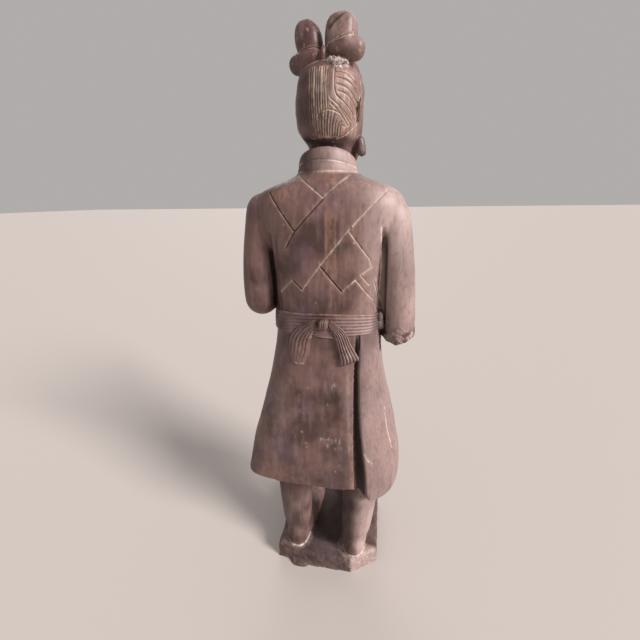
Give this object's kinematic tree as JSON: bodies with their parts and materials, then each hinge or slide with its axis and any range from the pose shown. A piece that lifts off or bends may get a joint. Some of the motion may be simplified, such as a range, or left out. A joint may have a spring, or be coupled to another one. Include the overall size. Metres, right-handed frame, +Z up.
{
  "type": "terracotta warrior statue",
  "caption": "Standing robed warrior of fired clay on a rough base plate, with a wrapped skirt, a knotted sash, a right arm broken off below the elbow and a head that lifts out of the collar.",
  "frame": {"origin": "on the underside of the base plate, below the figure's upright axis", "axes": "+Z up along the figure, -Y the way its chest faces, +X towards its left hand"},
  "size_m": [0.2976, 0.1973, 0.922],
  "materials": {
    "body_clay": "matt fired clay, smoke darkened, with rubbed orange and cream high spots",
    "head_clay": "darker fired clay, burnished to a soft sheen, with cream in the hair lines"
  },
  "bodies": {
    "root": {"robed_body": "body_clay", "head": "head_clay"}
  },
  "joints": []
}
